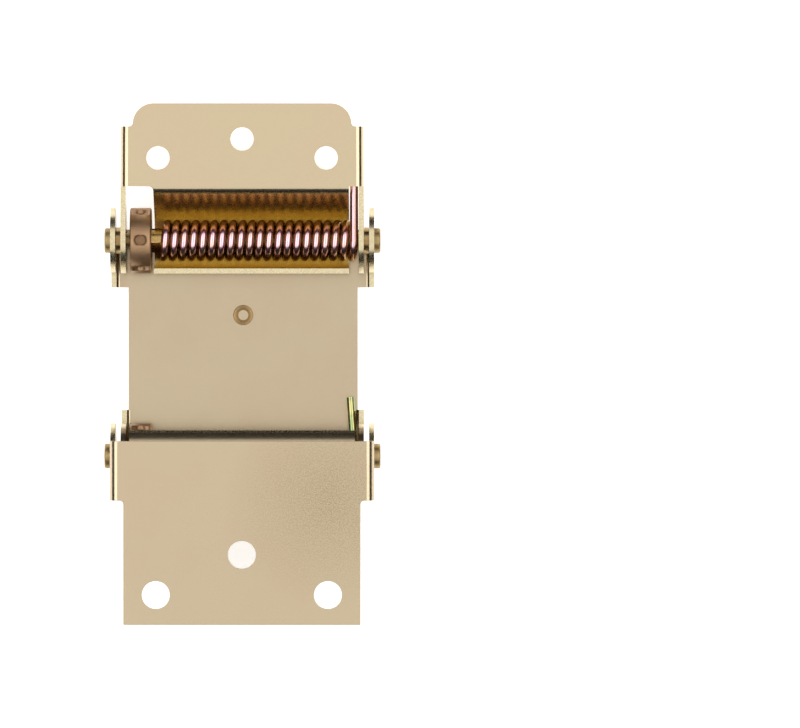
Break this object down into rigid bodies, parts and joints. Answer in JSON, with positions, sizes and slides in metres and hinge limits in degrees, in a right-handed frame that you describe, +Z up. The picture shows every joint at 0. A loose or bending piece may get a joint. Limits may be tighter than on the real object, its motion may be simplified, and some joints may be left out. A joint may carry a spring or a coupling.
{
  "type": "double action spring hinge",
  "caption": "Double action spring hinge of folded plated sheet: a door leaf, a web and a jamb leaf on riveted pins, with coil springs in rolled barrels and drilled winding collars.",
  "frame": {"origin": "centre of the whole hinge on the surface it lies on, at the tip of the web's bump", "axes": "+X along the pins, towards the springs' free legs; +Y from the jamb leaf to the door leaf; +Z up from the surface, towards the leaves' wood faces"},
  "size_m": [0.0876, 0.165, 0.0288],
  "materials": {
    "brass_plate": "satin brass plating on sheet steel",
    "rivet_steel": "brass plated steel pin with riveted ends",
    "spring_wire": "bright wire with yellow and pink passivated zinc",
    "collar_bronze": "matte brown bronze, turned and drilled"
  },
  "bodies": {
    "web": {"centre_web": "brass_plate", "upper_axle": "rivet_steel", "upper_left_washer": "brass_plate", "upper_right_washer": "brass_plate", "lower_spring": "spring_wire"},
    "door_leaf": {"door_leaf": "brass_plate", "upper_spring": "spring_wire"},
    "jamb_leaf": {"jamb_leaf": "brass_plate", "lower_axle": "rivet_steel", "lower_left_washer": "brass_plate", "lower_right_washer": "brass_plate"},
    "upper_collar": {"upper_collar": "collar_bronze"},
    "lower_collar": {"lower_collar": "collar_bronze"}
  },
  "joints": [
    {"name": "door_leaf_swing", "type": "hinge", "parent": "web", "child": "door_leaf", "pos_m": [0, 0.0392, 0.0143], "axis": [1, 0, 0], "range_deg": [-33, 175]},
    {"name": "jamb_leaf_swing", "type": "hinge", "parent": "web", "child": "jamb_leaf", "pos_m": [0, -0.0292, 0.0143], "axis": [1, 0, 0], "range_deg": [-88, 177]},
    {"name": "upper_collar_turn", "type": "hinge", "parent": "door_leaf", "child": "upper_collar", "pos_m": [-0.032, 0.0392, 0.0143], "axis": [1, 0, 0], "range_deg": [0, 300], "deforming": ["upper_spring"]},
    {"name": "lower_collar_turn", "type": "hinge", "parent": "web", "child": "lower_collar", "pos_m": [-0.032, -0.0292, 0.0143], "axis": [-1, 0, 0], "range_deg": [0, 300], "deforming": ["lower_spring"]}
  ]
}
